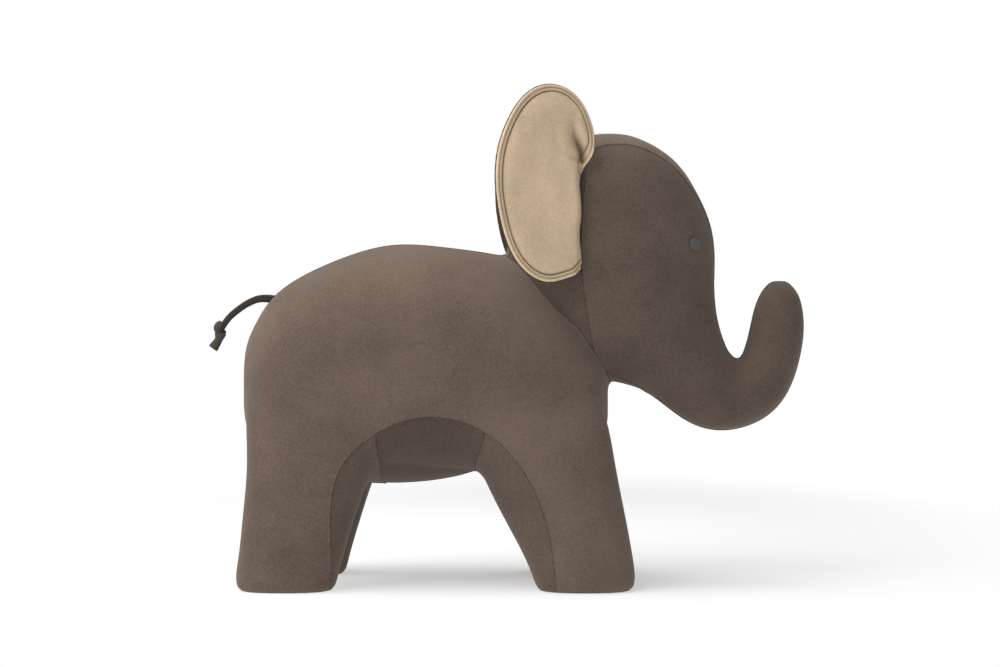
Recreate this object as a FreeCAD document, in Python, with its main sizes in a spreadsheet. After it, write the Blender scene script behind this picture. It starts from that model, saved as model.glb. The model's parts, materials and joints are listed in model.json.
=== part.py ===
"""A stuffed elephant, sewn from suede-like cloth: cover panels, stuffing, ears, eyes and a tail.

Frame: millimetres, +X out of the face, +Y to the elephant's left, +Z up, z = 0 under its feet.
x = 0 is where the shoulders are; the rump is at about x = -384 and the trunk's front at +390.
"""

import FreeCAD, Part
import math
import os

from FreeCAD import Vector

# ------------------------------------------------------------------------------------ driving sizes
SIZES = {
    "body_length": 774.0,  # rump to the front of the trunk
    "back_height": 467.0,  # floor to the top of the back
    "body_width": 312.0,  # across the legs
    "cover": 2.0,  # cloth of the cover panels
    "slack": 0.3,  # room between the cover and the stuffing
    "board_thickness": 3.0,
    "board_length": 112.0,
    "board_width": 90.0,
    "eye_diameter": 17.0,
    "eye_thickness": 4.0,
    "stem_diameter": 5.0,
    "stem_length": 9.0,
    "washer_diameter": 15.0,
    "washer_thickness": 1.5,
    "ear_splay": 27.0,  # degrees that the ear stands out towards the rear
    "ear_cloth": 1.5,
    "ear_padding": 5.0,
    "ear_rim": 1.5,  # how far the dark back shows round the ear
    "ear_band": 9.0,  # width of the ear's border band
    "root_strip": 3.0,  # width of the strip that the ear hangs on
    "root_depth": 40.0,
    "tail_diameter": 10.0,
    "knot_diameter": 19.0,
}
DRAWN_LENGTH = 774.0  # the stations below are drawn for a body of this size
DRAWN_HEIGHT = 467.0
DRAWN_WIDTH = 312.0

RIGHT = -1
LEFT = 1
HANDS = {"right": RIGHT, "left": LEFT}
FAR = 900.0  # beyond the elephant on every side
RING_POINTS = 24

# ---------------------------------------------------------------------------------------- stations
# The head and trunk are one tapering tube. Each station is a slice across it: the point on its
# front or inner side, the point on its back or outer side (both in the mid-plane) and its half
# width. The slices run from the crown down the face, then along the trunk to its raised tip.
HEAD_SLICES = (
    ((134, 621), (110, 621), 12),
    ((160, 614), (84, 616), 38),
    ((207, 586), (36, 588), 66),
    ((240, 540), (-2, 541), 89),
    ((257, 500), (-18, 497), 99),
    ((263, 455), (-22, 440), 104),
    ((263, 418), (0, 372), 103),
    ((266, 374), (62, 306), 96),
    ((274, 341), (124, 281), 84),
    ((283, 320), (174, 264), 70),
    ((292, 309), (222, 229), 57),
    ((299, 306), (274, 212), 49),
    ((306, 311), (334, 229), 44),
    ((312, 327), (371, 274), 40),
    ((317, 347), (387, 333), 37),
    ((323, 374), (388, 368), 33),
    ((331, 396), (382, 396), 26),
    ((341, 410), (372, 410), 15),
    ((350, 416), (364, 416), 5),
)
HEAD_ROUNDNESS = 2.2

# The trunk is a length of the same tube, inside this outline.
TRUNK_OUTLINE = ((150, 252), (292, 325), (300, 450), (430, 450), (430, 180), (150, 180))

# Torso slices from rump to chest: x, top, bottom, half width.
TORSO_SLICES = (
    (-384, 305, 265, 20),
    (-382, 331, 238, 58),
    (-375, 351, 208, 88),
    (-357, 383, 184, 113),
    (-331, 409, 170, 130),
    (-280, 437, 162, 143),
    (-213, 461, 160, 149),
    (-163, 467, 160, 150),
    (-95, 461, 160, 149),
    (-28, 450, 160, 144),
    (30, 424, 166, 134),
    (70, 376, 176, 118),
    (98, 332, 192, 90),
    (110, 296, 215, 52),
    (114, 270, 240, 15),
)
# The stuffing of the belly hangs below the torso's underside: part of an ellipsoid.
BELLY_SAG_MIDDLE = (-185, 0, 188)
BELLY_SAG_RADII = (155, 104, 50)
BACK_ROUNDNESS = 2.1
BELLY_ROUNDNESS = 3.6

# Leg slices from the sole up: height, rear x, front x, inner y, outer y.
REAR_LEG_SLICES = (
    (0, -382, -262, 46, 148),
    (5, -387, -258, 41, 153),
    (16, -389, -255, 39, 155),
    (49, -385, -246, 38, 155),
    (98, -380, -231, 38, 154),
    (160, -375, -208, 38, 151),
    (215, -376, -186, 40, 143),
    (270, -374, -196, 52, 126),
    (310, -360, -215, 70, 108),
)
FRONT_LEG_SLICES = (
    (0, 20, 140, 46, 148),
    (5, 16, 145, 41, 153),
    (16, 12, 147, 39, 155),
    (49, -2, 143, 38, 155),
    (98, -28, 134, 38, 154),
    (160, -58, 122, 38, 151),
    (215, -70, 112, 40, 143),
    (260, -52, 96, 52, 128),
    (295, -20, 70, 70, 110),
)
LEG_ROUNDNESS = 2.6
LEGS = {"rear": REAR_LEG_SLICES, "front": FRONT_LEG_SLICES}

# ------------------------------------------------------------------------------------------- seams
# Seams drawn in the side view, as points (x, z).
ARCH_SEAM = (
    (-268, -20),
    (-261, 64),
    (-240, 177),
    (-211, 205),
    (-134, 234),
    (-46, 208),
    (8, 142),
    (35, 56),
    (41, -20),
)
SHOULDER_SEAM = ((-24, 450), (5, 418), (37, 380), (78, 339), (110, 289), (150, 200))
EAR_SEAM = ((78, 700), (78, 500), (78, 412), (85, 367), (96, 319), (114, 270), (150, 195))
AHEAD_OF_SHOULDER = ((500, 100), (500, 750), (-45, 750), (-45, 500))  # closes the shoulder seam
AHEAD_OF_EAR = ((500, 100), (500, 700))  # closes the ear seam
BELLY_REAR_SEAM = ((-205, 260), (-192, 120))
BELLY_FRONT_SEAM = ((-43, 260), (-78, 120))
GUSSET_HALF_WIDTH = 75  # the strip under the body that the inner legs are cut with
GUSSET_TOP = 200
LEG_DIVIDE_X = -130
SLIVER_SHARE = 0.02  # a cut's leftover is smaller than this share of the largest solid

# The crown gusset runs over the head from the nape to between the eyes: for each direction from
# the head's middle, in degrees above +X, its half width.
HEAD_MIDDLE = (120, 453)
CROWN_WIDTHS = (
    (192, 27),
    (180, 31),
    (150, 43),
    (120, 52),
    (98, 55),
    (68, 48),
    (39, 38),
    (11, 20),
    (-13, 1),
)
CROWN_INNER = 40
CROWN_OUTER = 260

# The chin gusset, seen from below: x and half width, closing to a point under the trunk.
CHIN_WIDTHS = ((50, 64), (90, 62), (125, 55), (150, 38))
CHIN_POINT = 172
CHIN_RANGE = (195, 330)

# --------------------------------------------------------------------------------------- eyes, ears
EYE_PLACE = (231, 467)  # x and z; the eye sits on the head's surface there
EYE_EDGE_SHARE = 0.3  # the rounded edge's radius over the eye's thickness

EAR_ROOT_LOW = (78, 112, 415)  # the line that the ear hangs on, left side
EAR_ROOT_HIGH = (78, 90, 571)
EAR_ROOT_RANGE = (30, 128)  # the sewn stretch, along that line
EAR_ROOT_GAP = 3.2
# The ear's outline: distance behind the root line, and height along it.
EAR_OUTLINE = (
    (0, 80),
    (0, 120),
    (-2, 148),
    (-13, 167),
    (-19, 192),
    (-15, 222),
    (0, 250),
    (27, 266),
    (58, 265),
    (88, 246),
    (113, 210),
    (129, 165),
    (132, 120),
    (124, 70),
    (107, 28),
    (82, 3),
    (50, -6),
    (23, 1),
    (5, 10),
    (-1, 20),
    (0, 45),
)

# ------------------------------------------------------------------------------------------- tail
# The tail's route in the mid-plane, from its swivel on the rump to the knot.
TAIL_ROUTE = ((-361, 396), (-381, 389), (-403, 375), (-419, 355))
TAIL_ARC_SHARE = 0.45
KNOT_MIDDLE = (-426, 347)
TAIL_END = (-436, 325)
LOOSE_END_SHARE = 0.9  # the loose end's width over the strap's


class Frame:
    """The document's sizes, and the stretch from the drawn stations to them."""

    def __init__(self, sheet):
        self.sheet = sheet
        self.fx = self["body_length"] / DRAWN_LENGTH
        self.fy = self["body_width"] / DRAWN_WIDTH
        self.fz = self["back_height"] / DRAWN_HEIGHT

    def __getitem__(self, alias):
        return float(self.sheet.get(alias))

    def point(self, x, y, z):
        return Vector(x * self.fx, y * self.fy, z * self.fz)


def make_sheet(doc):
    sheet = doc.addObject("Spreadsheet::Sheet", "sizes")
    for row, (alias, value) in enumerate(SIZES.items(), start=1):
        sheet.set(f"A{row}", alias)
        sheet.set(f"B{row}", str(value))
        sheet.setAlias(f"B{row}", alias)
    doc.recompute()
    return sheet


# ----------------------------------------------------------------------------------- lofted forms
def oval(centre, up, across, high, wide, round_top, round_bottom):
    """Points round a superellipse; `up` and `across` are its axes."""
    points = []
    for i in range(RING_POINTS):
        angle = 2 * math.pi * i / RING_POINTS
        c, s = math.cos(angle), math.sin(angle)
        power = 2 / (round_top if c >= 0 else round_bottom)
        rise = high * math.copysign(abs(c) ** power, c)
        reach = wide * math.copysign(abs(s) ** power, s)
        points.append(centre + up * rise + across * reach)
    return points


def spline_through(points, closed, parameters):
    curve = Part.BSplineCurve()
    if closed:
        curve.interpolate(Points=points, PeriodicFlag=True, Parameters=parameters)
    else:
        curve.interpolate(Points=points, Parameters=parameters)
    return curve


def skin(rings):
    """A closed solid whose side is one smooth surface through the rings, with flat ends."""
    stations = [0.0]
    for before, after in zip(rings, rings[1:]):
        step = sum((a - b).Length for a, b in zip(after, before)) / RING_POINTS
        stations.append(stations[-1] + math.sqrt(step))
    round_steps = [float(i) for i in range(RING_POINTS + 1)]
    hoops = [spline_through(ring, True, round_steps) for ring in rings]
    hoop_poles = [hoop.getPoles() for hoop in hoops]
    ribs = [spline_through(list(line), False, stations) for line in zip(*hoop_poles)]
    poles = [list(row) for row in zip(*[rib.getPoles() for rib in ribs])]
    surface = Part.BSplineSurface()
    surface.buildFromPolesMultsKnots(
        poles,
        ribs[0].getMultiplicities(),
        hoops[0].getMultiplicities(),
        ribs[0].getKnots(),
        hoops[0].getKnots(),
        False,
        True,
        3,
        3,
    )
    side = surface.toShape()
    ends = [edge for edge in side.Edges if len(edge.Vertexes) == 1]
    faces = [side] + [Part.Face(Part.Wire([edge])) for edge in ends]
    shell = Part.Compound(faces)
    shell.sewShape()
    solid = Part.Solid(shell.Shells[0])
    if solid.Volume < 0:
        solid.reverse()
    return solid


def head_form(frame, inset):
    rings = []
    last = len(HEAD_SLICES) - 1
    for i, (front, back, half_width) in enumerate(HEAD_SLICES):
        a = frame.point(front[0], 0, front[1])
        b = frame.point(back[0], 0, back[1])
        up = (a - b).normalize()
        high = (a - b).Length / 2
        wide = half_width * frame.fy
        centre = (a + b) / 2
        if i in (0, last):
            centre.z -= inset
        else:
            high -= inset
            wide -= inset
        across = Vector(0, 1, 0)
        rings.append(oval(centre, up, across, high, wide, HEAD_ROUNDNESS, HEAD_ROUNDNESS))
    return skin(rings)


def torso_form(frame, inset):
    rings = []
    last = len(TORSO_SLICES) - 1
    for i, (x, top, bottom, half_width) in enumerate(TORSO_SLICES):
        centre = frame.point(x, 0, (top + bottom) / 2)
        high = (top - bottom) / 2 * frame.fz
        wide = half_width * frame.fy
        if i == 0:
            centre.x += inset
        elif i == last:
            centre.x -= inset
        else:
            high -= inset
            wide -= inset
        up, across = Vector(0, 0, 1), Vector(0, 1, 0)
        rings.append(oval(centre, up, across, high, wide, BACK_ROUNDNESS, BELLY_ROUNDNESS))
    return skin(rings).fuse(belly_sag(frame, inset))


def belly_sag(frame, inset):
    long, wide, high = BELLY_SAG_RADII
    stretch = FreeCAD.Matrix()
    stretch.scale(long * frame.fx - inset, wide * frame.fy - inset, high * frame.fz - inset)
    sag = Part.makeSphere(1.0).transformGeometry(stretch)
    sag.translate(frame.point(*BELLY_SAG_MIDDLE))
    return sag


def leg_form(frame, slices, hand, inset):
    rings = []
    last = len(slices) - 1
    for i, (height, rear, front, inner, outer) in enumerate(slices):
        centre = frame.point((rear + front) / 2, hand * (inner + outer) / 2, height)
        if i == 0:
            centre.z += inset
        elif i == last:
            centre.z -= inset
        long = (front - rear) / 2 * frame.fx - inset
        wide = (outer - inner) / 2 * frame.fy - inset
        along, across = Vector(1, 0, 0), Vector(0, 1, 0)
        rings.append(oval(centre, along, across, long, wide, LEG_ROUNDNESS, LEG_ROUNDNESS))
    return skin(rings)


def whole_form(frame, inset):
    """Head, trunk, torso and legs in one solid, shrunk by `inset`."""
    legs = [leg_form(frame, s, hand, inset) for s in LEGS.values() for hand in HANDS.values()]
    return torso_form(frame, inset).fuse(legs + [head_form(frame, inset)])


# ------------------------------------------------------------------------------------ cutting tools
def side_view_prism(frame, seam, corners, half_width=FAR):
    """What lies inside a smooth seam and the straight corners that close it, in the side view."""
    points = [frame.point(x, -half_width, z) for x, z in seam]
    curve = Part.BSplineCurve()
    curve.interpolate(points)
    loop = [points[-1]] + [frame.point(x, -half_width, z) for x, z in corners] + [points[0]]
    edges = [curve.toShape()]
    edges += [Part.makeLine(a, b) for a, b in zip(loop, loop[1:])]
    return Part.Face(Part.Wire(edges)).extrude(Vector(0, 2 * half_width * frame.fy, 0))


def outline_prism(frame, outline):
    points = [frame.point(x, -FAR, z) for x, z in outline]
    face = Part.Face(Part.makePolygon(points + points[:1]))
    return face.extrude(Vector(0, 2 * FAR * frame.fy, 0))


def box_between(frame, low, high):
    a, b = frame.point(*low), frame.point(*high)
    return Part.makeBox(b.x - a.x, b.y - a.y, b.z - a.z, a)


def half_space(frame, hand):
    """Everything on the elephant's right or left."""
    low, high = sorted((0, hand * FAR))
    return box_between(frame, (-FAR, low, -FAR), (FAR, high, FAR))


def crown_wedge(frame):
    """A fan of slices about the head's middle, as wide as the crown gusset is there."""
    sections = []
    for degrees, half_width in CROWN_WIDTHS:
        ray = math.cos(math.radians(degrees)), math.sin(math.radians(degrees))
        corners = []
        for radius, side in ((CROWN_INNER, -1), (CROWN_INNER, 1), (CROWN_OUTER, 1), (CROWN_OUTER, -1)):
            x = HEAD_MIDDLE[0] + ray[0] * radius
            z = HEAD_MIDDLE[1] + ray[1] * radius
            corners.append(frame.point(x, side * half_width, z))
        sections.append(Part.makePolygon(corners + corners[:1]))
    return Part.makeLoft(sections, True, True)


def chin_prism(frame):
    bottom, top = CHIN_RANGE
    right = [frame.point(x, -w, bottom) for x, w in CHIN_WIDTHS]
    left = [frame.point(x, w, bottom) for x, w in reversed(CHIN_WIDTHS)]
    curve = Part.BSplineCurve()
    curve.interpolate(right + [frame.point(CHIN_POINT, 0, bottom)] + left)
    edges = [curve.toShape(), Part.makeLine(left[-1], right[0])]
    return Part.Face(Part.Wire(edges)).extrude(Vector(0, 0, (top - bottom) * frame.fz))


def main_solids(shape):
    """The shape without slivers that a cut may leave."""
    largest = max(solid.Volume for solid in shape.Solids)
    kept = [solid for solid in shape.Solids if solid.Volume > SLIVER_SHARE * largest]
    return kept[0] if len(kept) == 1 else Part.Compound(kept)


# ----------------------------------------------------------------------------------- cover panels
def cover_panels(frame, outer, inner):
    """The cover, cut along its seams: a name for each panel of cloth."""
    cover = outer.cut(inner)
    ahead_of_shoulder = side_view_prism(frame, SHOULDER_SEAM, AHEAD_OF_SHOULDER)
    ahead_of_ear = side_view_prism(frame, EAR_SEAM, AHEAD_OF_EAR)
    arch = side_view_prism(frame, ARCH_SEAM, ())
    strip = box_between(
        frame, (-FAR, -GUSSET_HALF_WIDTH, -FAR), (FAR, GUSSET_HALF_WIDTH, GUSSET_TOP)
    )
    under = arch.fuse(strip)
    belly = outline_prism(frame, BELLY_REAR_SEAM[::-1] + BELLY_FRONT_SEAM)
    crown = crown_wedge(frame)
    chin = chin_prism(frame)

    sole_slab = Part.makeBox(2 * FAR, 2 * FAR, frame["cover"], Vector(-FAR, -FAR, 0))
    feet = outer.common(sole_slab)
    cover = cover.cut(sole_slab)

    head = cover.common(ahead_of_shoulder)
    body = cover.cut(ahead_of_shoulder)
    face = head.common(ahead_of_ear)
    neck = head.cut(ahead_of_ear)
    cheeks = face.cut(crown).cut(chin)
    inside = body.common(under)
    inside_legs = inside.cut(belly)

    panels = {
        "crown_gusset": head.common(crown),
        "chin_gusset": face.common(chin),
        "belly_panel": inside.common(belly),
    }
    for word, hand in HANDS.items():
        half = half_space(frame, hand)
        panels[f"head_side_panel_{word}"] = cheeks.common(half)
        panels[f"neck_panel_{word}"] = neck.cut(crown).common(half)
        panels[f"body_side_panel_{word}"] = body.cut(under).common(half)
        for end, quarter in quarters(frame, hand).items():
            panels[f"{end}_inner_leg_panel_{word}"] = inside_legs.common(quarter)
            panels[f"{end}_sole_{word}"] = feet.common(quarter)
    return {name: main_solids(shape) for name, shape in panels.items()}


def quarters(frame, hand):
    """The rear and the front quarter on one side."""
    low, high = sorted((0, hand * FAR))
    return {
        "rear": box_between(frame, (-FAR, low, -FAR), (LEG_DIVIDE_X, high, FAR)),
        "front": box_between(frame, (LEG_DIVIDE_X, low, -FAR), (FAR, high, FAR)),
    }


# -------------------------------------------------------------------------------------- stuffing
def stuffing(frame):
    """Solid fillings that stand a little inside the cover, by name."""
    inset = frame["cover"] + frame["slack"]
    torso = torso_form(frame, inset)
    head = head_form(frame, inset).cut(torso)
    trunk = outline_prism(frame, TRUNK_OUTLINE)
    fills = {
        "torso_fill": torso,
        "head_fill": head.cut(trunk),
        "trunk_fill": head.common(trunk),
    }
    above_board = frame["cover"] + frame["board_thickness"]
    board_slab = Part.makeBox(2 * FAR, 2 * FAR, above_board, Vector(-FAR, -FAR, 0))
    for end, slices in LEGS.items():
        for word, hand in HANDS.items():
            leg = leg_form(frame, slices, hand, inset)
            fills[f"{end}_leg_fill_{word}"] = leg.cut(torso).cut(board_slab)
    return {name: main_solids(shape) for name, shape in fills.items()}


# --------------------------------------------------------------------------------- document pieces
def add_shape(doc, label, shape):
    piece = doc.addObject("Part::Feature", label)
    piece.Label = label
    piece.Shape = shape
    piece.Placement = FreeCAD.Placement()
    return piece


def origin_plane(body, role):
    return next(plane for plane in body.Origin.OriginFeatures if plane.Role == role)


def pad_outlines(doc, label, outlines, height, thickness, placement):
    """A body padded from closed outlines drawn on its own XY plane; `height` is where it starts."""
    body = doc.addObject("PartDesign::Body", label)
    body.Label = label
    sketch = body.newObject("Sketcher::SketchObject", f"{label}_outline")
    sketch.AttachmentSupport = [(origin_plane(body, "XY_Plane"), "")]
    sketch.MapMode = "FlatFace"
    sketch.setExpression("AttachmentOffset.Base.z", height)
    for outline in outlines:
        sketch.addGeometry(outline, False)
    pad = body.newObject("PartDesign::Pad", f"{label}_pad")
    pad.Profile = sketch
    pad.setExpression("Length", thickness)
    sketch.Visibility = False
    body.Placement = placement
    return body


def add_foot_board(doc, frame, end, word):
    """The stiff board that keeps a sole flat."""
    rear, front = LEGS[end][0][1:3]
    inner, outer = LEGS[end][0][3:5]
    centre = frame.point((rear + front) / 2, HANDS[word] * (inner + outer) / 2, 0)
    oval_edge = Part.Ellipse(Vector(0, 0, 0), frame["board_length"] / 2, frame["board_width"] / 2)
    return pad_outlines(
        doc,
        f"{end}_foot_board_{word}",
        [oval_edge],
        "sizes.cover",
        "sizes.board_thickness",
        FreeCAD.Placement(centre, FreeCAD.Rotation()),
    )


# --------------------------------------------------------------------------------------------- eyes
def surface_point(form, frame, hand):
    """Where the eye sits on the head, and the direction that it faces."""
    outside = frame.point(EYE_PLACE[0], hand * FAR, EYE_PLACE[1])
    middle = frame.point(EYE_PLACE[0], 0, EYE_PLACE[1])
    crossing = form.common(Part.makeLine(outside, middle))
    point = max((v.Point for v in crossing.Vertexes), key=lambda p: hand * p.y)
    side = max(form.Faces, key=lambda face: face.Area)
    u, v = side.Surface.parameter(point)
    normal = side.normalAt(u, v)
    if normal.y * hand < 0:
        normal = normal * -1
    return point, normal


def add_eye(doc, frame, form, word):
    """A flat button with a rounded edge on a stem through the cloth, locked by a washer behind it."""
    point, normal = surface_point(form, frame, HANDS[word])
    facing = FreeCAD.Rotation(Vector(0, 0, 1), normal)

    button = doc.addObject("Part::Cylinder", f"eye_{word}_disc")
    button.setExpression("Radius", "sizes.eye_diameter / 2")
    button.setExpression("Height", "sizes.eye_thickness")
    domed = doc.addObject("Part::Fillet", f"eye_{word}_dome")
    doc.recompute()
    domed.Base = button
    rim = next(
        i
        for i, edge in enumerate(button.Shape.Edges, start=1)
        if edge.Closed and edge.CenterOfMass.z > frame["eye_thickness"] / 2
    )
    radius = EYE_EDGE_SHARE * frame["eye_thickness"]
    domed.Edges = [(rim, radius, radius)]
    stem = doc.addObject("Part::Cylinder", f"eye_{word}_stem")
    stem.setExpression("Radius", "sizes.stem_diameter / 2")
    stem.setExpression("Height", "sizes.stem_length")
    stem.setExpression("Placement.Base.z", "-sizes.stem_length")
    eye = doc.addObject("Part::Fuse", f"eye_button_{word}")
    eye.Label = f"eye_button_{word}"
    eye.Base = domed
    eye.Tool = stem
    eye.Placement = FreeCAD.Placement(point, facing)

    plate = doc.addObject("Part::Cylinder", f"washer_{word}_plate")
    plate.setExpression("Radius", "sizes.washer_diameter / 2")
    plate.setExpression("Height", "sizes.washer_thickness")
    hole = doc.addObject("Part::Cylinder", f"washer_{word}_hole")
    hole.setExpression("Radius", "sizes.stem_diameter / 2")
    hole.setExpression("Height", "sizes.washer_thickness")
    washer = doc.addObject("Part::Cut", f"eye_washer_{word}")
    washer.Label = f"eye_washer_{word}"
    washer.Base = plate
    washer.Tool = hole
    depth = frame["cover"] + frame["washer_thickness"] + 2 * frame["slack"]
    washer.Placement = FreeCAD.Placement(point - normal * depth, facing)

    pocket_length = frame["stem_length"] + frame["slack"]
    pocket_radius = frame["washer_diameter"] / 2 + frame["slack"]
    pocket = Part.makeCylinder(pocket_radius, pocket_length, point, normal * -1)
    stem_hole = Part.makeCylinder(frame["stem_diameter"] / 2, pocket_length, point, normal * -1)
    return [eye, washer], pocket, stem_hole


# --------------------------------------------------------------------------------------------- ears
def shrunk(points, distance):
    """The closed outline moved inwards by `distance`."""
    moved = []
    count = len(points)
    for i, (x, y) in enumerate(points):
        before, after = points[i - 1], points[(i + 1) % count]
        run = after[0] - before[0], after[1] - before[1]
        length = math.hypot(*run)
        moved.append((x + run[1] / length * distance, y - run[0] / length * distance))
    return moved


def ear_curve(frame, hand, inset):
    """The ear's outline as a closed spline, as wide as the whole outline less the inset."""
    points = shrunk(EAR_OUTLINE, inset)
    gap = EAR_ROOT_GAP
    places = [Vector(hand * (x * frame.fx + gap), y * frame.fz, 0) for x, y in points]
    curve = Part.BSplineCurve()
    curve.interpolate(Points=places, PeriodicFlag=True)
    return curve


def ear_placement(frame, hand):
    """The ear's own frame: its X across the ear, its Y up the root line, its Z out of the front."""
    low = frame.point(EAR_ROOT_LOW[0], hand * EAR_ROOT_LOW[1], EAR_ROOT_LOW[2])
    high = frame.point(EAR_ROOT_HIGH[0], hand * EAR_ROOT_HIGH[1], EAR_ROOT_HIGH[2])
    up = (high - low).normalize()
    splay = math.radians(frame["ear_splay"])
    back = Vector(-math.cos(splay), hand * math.sin(splay), 0)
    across = (back - up * back.dot(up)).normalize() * hand
    out = across.cross(up)
    return FreeCAD.Placement(low, FreeCAD.Rotation(across, up, out, "ZXY"))


def add_ear(doc, frame, outer, word):
    """Four layers that hinge on the root line, and the strip of seam that holds them."""
    hand = HANDS[word]
    place = ear_placement(frame, hand)
    rim, band = frame["ear_rim"], frame["ear_band"]
    half = "(sizes.ear_padding / 2 + sizes.ear_cloth)"
    layers = {
        "back": ([0], f"-{half}", "sizes.ear_cloth"),
        "padding": ([rim], "-sizes.ear_padding / 2", "sizes.ear_padding"),
        "front": ([rim + band], "sizes.ear_padding / 2", "sizes.ear_cloth"),
        "border": ([rim, rim + band], "sizes.ear_padding / 2", "sizes.ear_cloth"),
    }
    pieces = []
    for layer, (insets, height, thickness) in layers.items():
        curves = [ear_curve(frame, hand, inset) for inset in insets]
        pieces.append(
            pad_outlines(doc, f"ear_{layer}_{word}", curves, height, thickness, place)
        )
    low, high = EAR_ROOT_RANGE
    width, depth = frame["root_strip"], frame["root_depth"]
    corner = Vector(-width / 2, low * frame.fz, -depth)
    strip = Part.makeBox(width, (high - low) * frame.fz, depth, corner)
    turn_straight_in = FreeCAD.Rotation(Vector(0, 1, 0), hand * frame["ear_splay"])
    strip.Placement = place.multiply(FreeCAD.Placement(Vector(), turn_straight_in))
    strip = strip.cut(outer)
    pieces.append(add_shape(doc, f"ear_root_seam_{word}", main_solids(strip)))
    return pieces


# --------------------------------------------------------------------------------------------- tail
def rounded_path(points):
    """Straight runs joined by arcs as large as the runs allow, with each arc's radius."""
    edges, radii = [], []
    start = points[0]
    for before, corner, after in zip(points, points[1:], points[2:]):
        towards = (before - corner).normalize()
        away = (after - corner).normalize()
        half_turn = (math.pi - towards.getAngle(away)) / 2
        reach = TAIL_ARC_SHARE * min((before - corner).Length, (after - corner).Length)
        radii.append(reach / math.tan(half_turn))
        enter, leave = corner + towards * reach, corner + away * reach
        inward = (towards + away).normalize()
        centre = corner + inward * (radii[-1] / math.cos(half_turn))
        middle = centre - inward * radii[-1]
        edges.append(Part.makeLine(start, enter))
        edges.append(Part.Arc(enter, middle, leave).toShape())
        start = leave
    edges.append(Part.makeLine(start, points[-1]))
    return Part.Wire(edges), radii


def add_tail(doc, frame):
    """A folded strap that hangs from the rump, knotted near its end."""
    radius = frame["tail_diameter"] / 2
    route = [frame.point(x, 0, z) for x, z in TAIL_ROUTE]
    path, radii = rounded_path(route)
    print("tail arc radii, mm:", [round(r, 1) for r in radii])
    circle = Part.Wire([Part.makeCircle(radius, route[0], route[1] - route[0])])
    strap = path.makePipeShell([circle], True, False)
    section = math.pi * radius**2 * path.Length
    print("tail strap volume over section times length:", round(strap.Volume / section, 4))

    middle = frame.point(KNOT_MIDDLE[0], 0, KNOT_MIDDLE[1])
    end = frame.point(TAIL_END[0], 0, TAIL_END[1])
    knot = Part.makeSphere(frame["knot_diameter"] / 2, middle)
    loose_end = Part.makeCylinder(
        LOOSE_END_SHARE * radius, (end - middle).Length, middle, end - middle
    )
    knot = knot.fuse(loose_end).cut(strap)
    return [add_shape(doc, "tail_strap", strap), add_shape(doc, "tail_knot", main_solids(knot))]


# ----------------------------------------------------------------------------------------- assembly
def build():
    doc = FreeCAD.newDocument("stuffed_elephant")
    frame = Frame(make_sheet(doc))
    outer = whole_form(frame, 0)
    inner = whole_form(frame, frame["cover"])
    panels = cover_panels(frame, outer, inner)
    fills = stuffing(frame)
    head = head_form(frame, 0)

    pieces = []
    for word in HANDS:
        eye, pocket, stem_hole = add_eye(doc, frame, head, word)
        pieces += eye
        fills["head_fill"] = fills["head_fill"].cut(pocket)
        panel = f"head_side_panel_{word}"
        panels[panel] = panels[panel].cut(stem_hole)
        pieces += add_ear(doc, frame, outer, word)
        for end in LEGS:
            pieces.append(add_foot_board(doc, frame, end, word))
    pieces += add_tail(doc, frame)
    for name, shape in {**panels, **fills}.items():
        pieces.append(add_shape(doc, name, shape))
    doc.recompute()
    return doc, pieces


def check(doc, pieces):
    failed = [o.Label for o in doc.Objects if {"Invalid", "Error"} & set(o.State)]
    failed += [p.Label for p in pieces if p.Shape.isNull() or not p.Shape.isValid()]
    if failed:
        raise RuntimeError(f"these did not build: {sorted(set(failed))}")


def export(pieces):
    os.makedirs("parts", exist_ok=True)
    for piece in pieces:
        piece.Shape.exportStep(f"parts/{piece.Label}.step")
        solids = len(piece.Shape.Solids)
        print(f"{piece.Label:32s} {solids} solid(s) {piece.Shape.Volume / 1000:10.1f} cm3")


def main():
    doc, pieces = build()
    check(doc, pieces)
    export(pieces)


main()
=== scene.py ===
"""The stuffed elephant's looks: cover panels, ears, eyes, tail, materials, light and camera.

Every length is in metres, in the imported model's own frame.
"""

import json
import math

import bpy
import numpy as np
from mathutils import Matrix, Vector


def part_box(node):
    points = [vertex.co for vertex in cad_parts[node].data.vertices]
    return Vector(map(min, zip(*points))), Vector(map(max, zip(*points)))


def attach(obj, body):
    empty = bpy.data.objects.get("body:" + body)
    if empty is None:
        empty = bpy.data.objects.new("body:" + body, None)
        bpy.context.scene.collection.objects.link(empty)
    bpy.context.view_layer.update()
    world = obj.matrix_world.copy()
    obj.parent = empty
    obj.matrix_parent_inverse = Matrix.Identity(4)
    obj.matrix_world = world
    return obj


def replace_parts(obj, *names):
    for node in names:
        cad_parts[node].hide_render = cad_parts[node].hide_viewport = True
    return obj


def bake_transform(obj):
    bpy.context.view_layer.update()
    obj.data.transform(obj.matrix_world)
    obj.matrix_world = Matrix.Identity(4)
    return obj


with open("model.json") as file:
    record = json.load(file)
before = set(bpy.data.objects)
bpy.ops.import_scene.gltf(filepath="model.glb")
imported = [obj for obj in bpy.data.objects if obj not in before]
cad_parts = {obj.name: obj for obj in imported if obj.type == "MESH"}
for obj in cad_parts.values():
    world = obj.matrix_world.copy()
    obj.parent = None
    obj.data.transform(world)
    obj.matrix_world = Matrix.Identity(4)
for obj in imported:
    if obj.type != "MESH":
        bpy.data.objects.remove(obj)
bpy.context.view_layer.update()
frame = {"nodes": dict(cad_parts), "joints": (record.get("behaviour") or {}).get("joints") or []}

import openvdb
from mathutils import Vector
from mathutils.bvhtree import BVHTree

HANDS = {"right": -1, "left": 1}

# ------------------------------------------------------------------------------------------ camera
CAMERA_X = -0.034
CAMERA_HEIGHT = 0.345
CAMERA_DISTANCE = 2.9
LENS = 74.6
SENSOR = 36.0


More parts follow.
